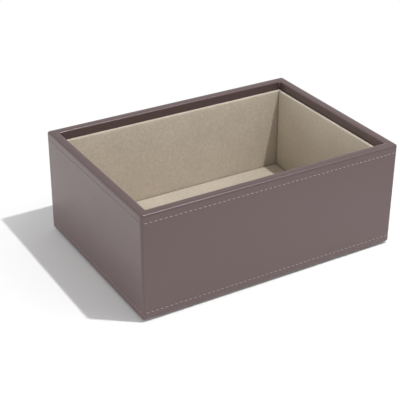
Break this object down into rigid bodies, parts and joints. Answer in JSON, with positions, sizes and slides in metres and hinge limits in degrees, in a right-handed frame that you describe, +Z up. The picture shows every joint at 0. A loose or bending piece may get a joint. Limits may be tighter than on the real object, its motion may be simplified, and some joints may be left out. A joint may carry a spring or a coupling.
{
  "type": "accessory organizer",
  "caption": "Open-topped rectangular stacking tray for accessories: boards under a stitched faux-leather cover, velvet-lined inside, on a low inset plinth.",
  "frame": {"origin": "middle of the plinth's underside, which is the middle of the part's footprint on the surface it stands on", "axes": "+X along the length, front face towards -Y, +Z up"},
  "size_m": [0.18, 0.1268, 0.0707],
  "materials": {
    "leather": "smooth matt taupe faux leather with a fine grain",
    "board": "raw fibreboard",
    "card": "grey board",
    "velvet": "short-pile beige velvet",
    "thread": "pale taupe sewing thread"
  },
  "bodies": {
    "root": {"leather_cover": "leather", "front_board": "board", "right_board": "board", "back_board": "board", "left_board": "board", "bottom_board": "board", "front_lining_card": "card", "front_lining_velvet": "velvet", "right_lining_card": "card", "right_lining_velvet": "velvet", "back_lining_card": "card", "back_lining_velvet": "velvet", "left_lining_card": "card", "left_lining_velvet": "velvet", "floor_lining_card": "card", "floor_lining_velvet": "velvet", "plinth_card": "card", "plinth_velvet": "velvet"}
  },
  "joints": []
}
